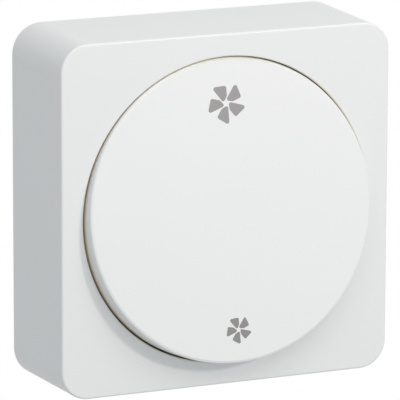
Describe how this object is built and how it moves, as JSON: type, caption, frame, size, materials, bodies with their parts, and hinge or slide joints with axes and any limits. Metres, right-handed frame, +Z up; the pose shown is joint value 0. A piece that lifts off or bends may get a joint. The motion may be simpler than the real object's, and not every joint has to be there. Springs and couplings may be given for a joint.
{
  "type": "fan switch",
  "caption": "Surface-mounted square wall switch with a large round rocker that tips between fast and slow, over a toggle contact insert on a screwed base plate.",
  "frame": {"origin": "centre of the base plate's back face, on the wall", "axes": "+X to the right, +Z up, +Y into the wall, so the front faces -Y"},
  "size_m": [0.075, 0.0307, 0.075],
  "materials": {
    "white_shell": "satin moulded white plastic",
    "grey_moulding": "matt moulded grey plastic",
    "steel": "zinc-plated steel",
    "brass": "stamped bright brass",
    "contact_silver": "silver contact tips",
    "print": "matt grey pad print of the fan marks"
  },
  "bodies": {
    "housing": {"cover": "white_shell", "base_plate": "grey_moulding", "support_plate": "steel", "plate_screws": "steel", "insert_body": "grey_moulding", "bearing_frame": "grey_moulding", "common_strip": "brass", "fast_strip": "brass", "slow_strip": "brass", "fixed_contacts": "contact_silver", "terminal_cages": "brass", "clamp_plates": "brass", "terminal_screws": "steel", "lever_pin": "steel"},
    "rocker": {"rocker": "white_shell", "rocker_carrier": "grey_moulding", "plunger_spring": "steel"},
    "plunger": {"plunger": "grey_moulding"},
    "lever": {"contact_lever": "brass", "moving_contacts": "contact_silver"}
  },
  "joints": [
    {"name": "rocker_tilt", "type": "hinge", "parent": "housing", "child": "rocker", "pos_m": [0, -0.0233, 0], "axis": [1, 0, 0], "range_deg": [0, 12]},
    {"name": "plunger_slide", "type": "slide", "parent": "rocker", "child": "plunger", "axis": [0, -0.9945, 0.1045], "range_m": [0, 0.0008], "stiffness_N_per_m": 250, "springref_m": -0.003, "deforming": ["plunger_spring"]},
    {"name": "lever_tilt", "type": "hinge", "parent": "housing", "child": "lever", "pos_m": [0, -0.009, 0], "axis": [1, 0, 0], "range_deg": [-16, 0]}
  ],
  "couplings": [
    {"joint": "lever_tilt", "follows": "rocker_tilt", "ratio": -1.3333}
  ]
}
